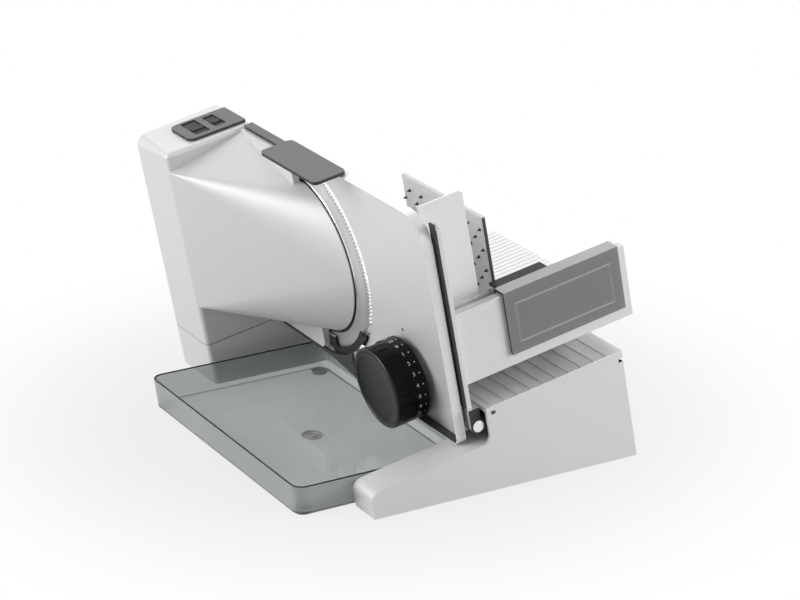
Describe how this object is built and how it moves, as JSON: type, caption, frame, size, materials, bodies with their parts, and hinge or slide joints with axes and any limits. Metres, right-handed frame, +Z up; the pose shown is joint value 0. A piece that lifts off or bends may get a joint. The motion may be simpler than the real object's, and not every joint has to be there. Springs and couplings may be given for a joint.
{
  "type": "electric food slicer",
  "caption": "Leaning electric food slicer with a geared round blade, a dial-set stop plate, a sliding carriage with a spiked holder, and a clear slice tray.",
  "frame": {"origin": "centre of the footprint on the table under the feet", "axes": "+X to the right towards the carriage side, +Y away from the operator to the motor tower, +Z up"},
  "size_m": [0.2992, 0.37, 0.2436],
  "materials": {
    "cast": "satin silver lacquer",
    "steel": "brushed",
    "bright": "polished",
    "grey_plastic": "fine grain",
    "black_plastic": "fine grain",
    "black_gloss": "smooth",
    "smoke": "clear smoke",
    "rubber": "matte",
    "brass": "turned",
    "aluminium": "satin",
    "gear_plastic": "moulded",
    "iron": "laminated",
    "winding": "varnished winding"
  },
  "bodies": {
    "base": {"base_housing": "cast", "base_cover": "grey_plastic", "rubber_feet": "rubber", "deck_plate": "steel", "guide_rail": "black_plastic", "guide_rod": "bright", "pin_bushes": "brass", "cord_gland": "rubber", "motor_housing": "cast", "rear_cover": "cast", "switch_panel": "grey_plastic", "guard_cap": "grey_plastic", "guard_strip": "grey_plastic", "lower_blade_guard": "steel", "slice_deflector": "grey_plastic", "gear_plate": "steel", "plate_posts": "steel", "blade_axle": "bright", "idler_bush": "brass", "motor_bearing": "brass", "motor_can": "steel", "motor_stator": "iron", "motor_brackets": "aluminium", "switch_block": "black_plastic", "housing_screws": "steel", "cam_arm": "steel"},
    "blade_group": {"blade": "steel", "blade_hub": "steel", "blade_gear": "gear_plastic"},
    "lock": {"blade_lock": "bright"},
    "idler": {"idler_gear": "gear_plastic"},
    "rotor": {"motor_shaft": "bright", "armature": "winding", "commutator": "brass", "motor_pinion": "steel"},
    "plate": {"stop_plate": "cast", "plate_carrier": "aluminium", "plate_pins": "bright", "dial_axle": "bright"},
    "thickness_dial": {"dial": "black_gloss", "dial_cam": "gear_plastic"},
    "carriage": {"carriage_wall": "cast", "carriage_glide": "black_plastic", "carriage_platform": "aluminium", "tall_guard": "cast", "carriage_shoe": "bright", "carriage_runners": "black_plastic"},
    "holder": {"holder_cap": "smoke", "holder_arm": "black_plastic", "spiked_plate": "smoke"},
    "on_button_body": {"on_button": "black_gloss"},
    "lock_button_body": {"lock_button": "black_gloss"},
    "slice_tray": {"tray": "smoke"}
  },
  "joints": [
    {"name": "blade_spin", "type": "hinge", "parent": "base", "child": "blade_group", "pos_m": [-0.03287, 0.04, 0.13605], "axis": [0.9826, 0, 0.1857], "continuous": true},
    {"name": "blade_lock_turn", "type": "hinge", "parent": "blade_group", "child": "lock", "pos_m": [-0.026, 0.04, 0.13735], "axis": [0.9826, 0, 0.1857], "range_deg": [0, 75]},
    {"name": "idler_spin", "type": "hinge", "parent": "base", "child": "idler", "pos_m": [-0.05253, 0.0985, 0.13233], "axis": [0.9826, 0, 0.1857], "continuous": true},
    {"name": "rotor_spin", "type": "hinge", "parent": "base", "child": "rotor", "pos_m": [-0.07709, 0.141, 0.12769], "axis": [0.9826, 0, 0.1857], "continuous": true},
    {"name": "plate_slide", "type": "slide", "parent": "base", "child": "plate", "axis": [-0.9826, 0, -0.1857], "range_m": [0, 0.022]},
    {"name": "dial_turn", "type": "hinge", "parent": "plate", "child": "thickness_dial", "pos_m": [-0.0362, -0.102, 0.07283], "axis": [-0.9826, 0, -0.1857], "range_deg": [0, 344]},
    {"name": "carriage_slide", "type": "slide", "parent": "base", "child": "carriage", "axis": [0, 1, 0], "range_m": [0, 0.19]},
    {"name": "holder_slide", "type": "slide", "parent": "carriage", "child": "holder", "axis": [-0.9826, 0, -0.1857], "range_m": [-0.006, 0.011]},
    {"name": "on_button_press", "type": "slide", "parent": "base", "child": "on_button_body", "axis": [0.1857, 0, -0.9826], "range_m": [0, 0.0025], "stiffness_N_per_m": 300, "springref_m": -0.002},
    {"name": "lock_button_press", "type": "slide", "parent": "base", "child": "lock_button_body", "axis": [0.1857, 0, -0.9826], "range_m": [0, 0.0025], "stiffness_N_per_m": 300, "springref_m": -0.002},
    {"name": "tray_slide", "type": "slide", "parent": "base", "child": "slice_tray", "axis": [-1, 0, 0], "range_m": [0, 0.15]}
  ],
  "couplings": [
    {"joint": "idler_spin", "follows": "blade_spin", "ratio": -4.5714},
    {"joint": "rotor_spin", "follows": "blade_spin", "ratio": 21.333},
    {"joint": "dial_turn", "follows": "plate_slide", "rad_per_m": 272.91}
  ]
}
